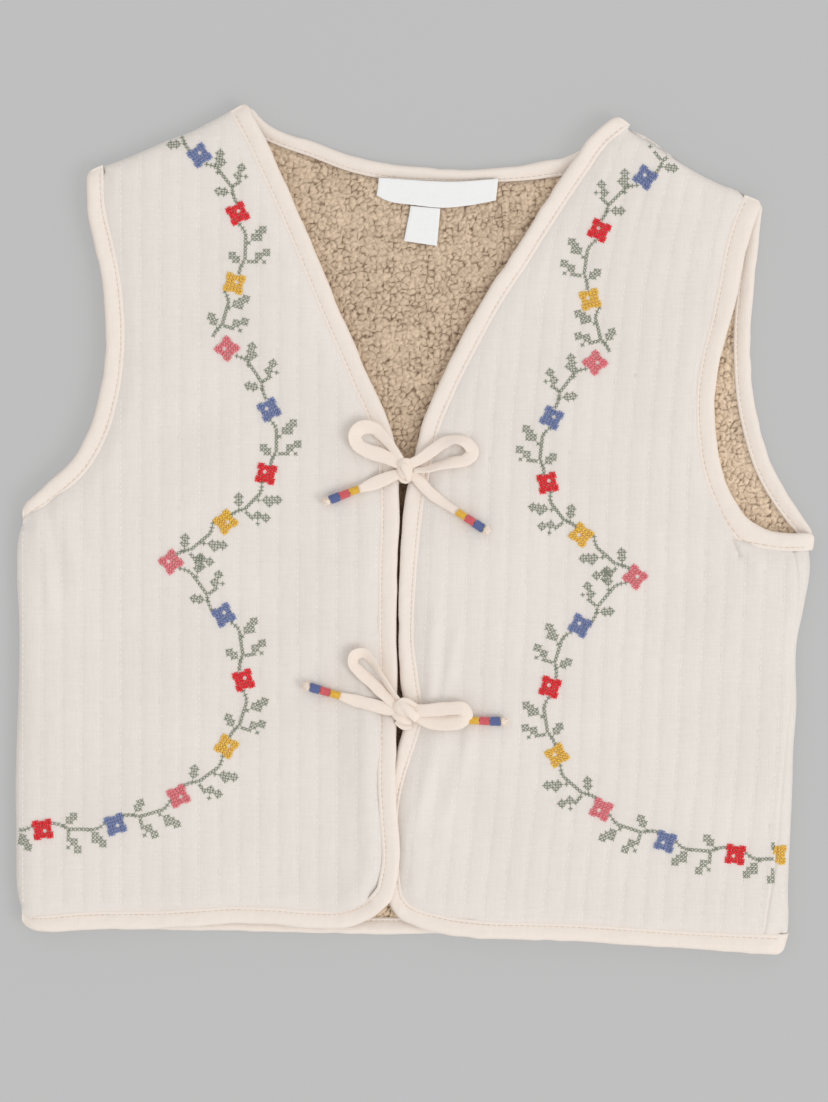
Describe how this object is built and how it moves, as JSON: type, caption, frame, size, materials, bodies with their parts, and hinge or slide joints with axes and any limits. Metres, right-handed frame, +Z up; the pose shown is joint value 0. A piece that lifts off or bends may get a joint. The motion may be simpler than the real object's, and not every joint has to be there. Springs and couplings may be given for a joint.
{
  "type": "quilted child's waistcoat with embroidered fronts, laid flat",
  "caption": "Sleeveless quilted waistcoat lying flat and face up, with a V neck, bound edges, a fleece lining and two tie bows that close its fronts edge to edge.",
  "frame": {"origin": "on the surface it lies on, under the middle of the garment's outline", "axes": "+X towards the wearer's left side, +Y from hem to shoulders, +Z up off the surface, out of the outer cloth of the fronts"},
  "size_m": [0.3512, 0.3741, 0.0177],
  "materials": {
    "shell": "matt cream cotton muslin, quilted over thin padding",
    "lining": "sand-coloured curly fleece",
    "binding": "plain-woven warm cream cotton binding, topstitched",
    "tie": "the binding's cotton, stitched into narrow ties",
    "label": "blank white woven tape with a slight sheen",
    "yellow_thread": "wound cotton embroidery thread, soft sheen",
    "pink_thread": "wound cotton embroidery thread, soft sheen",
    "blue_thread": "wound cotton embroidery thread, soft sheen"
  },
  "bodies": {
    "root": {"back_shell": "shell", "back_lining": "lining", "back_neck_binding": "binding", "back_hem_binding": "binding", "back_right_armhole_binding": "binding", "back_left_armhole_binding": "binding", "right_front": "shell", "left_front": "shell", "right_front_binding": "binding", "left_front_binding": "binding", "right_armhole_binding": "binding", "left_armhole_binding": "binding", "main_label": "label", "size_label": "label", "upper_knot": "tie", "upper_right_loop": "tie", "upper_left_loop": "tie", "upper_right_tail": "tie", "upper_left_tail": "tie", "upper_right_yellow": "yellow_thread", "upper_right_pink": "pink_thread", "upper_right_blue": "blue_thread", "upper_right_tuft": "tie", "upper_left_yellow": "yellow_thread", "upper_left_pink": "pink_thread", "upper_left_blue": "blue_thread", "upper_left_tuft": "tie", "lower_knot": "tie", "lower_right_loop": "tie", "lower_left_loop": "tie", "lower_right_tail": "tie", "lower_left_tail": "tie", "lower_tie_root": "tie", "lower_right_yellow": "yellow_thread", "lower_right_pink": "pink_thread", "lower_right_blue": "blue_thread", "lower_right_tuft": "tie", "lower_left_yellow": "yellow_thread", "lower_left_pink": "pink_thread", "lower_left_blue": "blue_thread", "lower_left_tuft": "tie"}
  },
  "joints": []
}
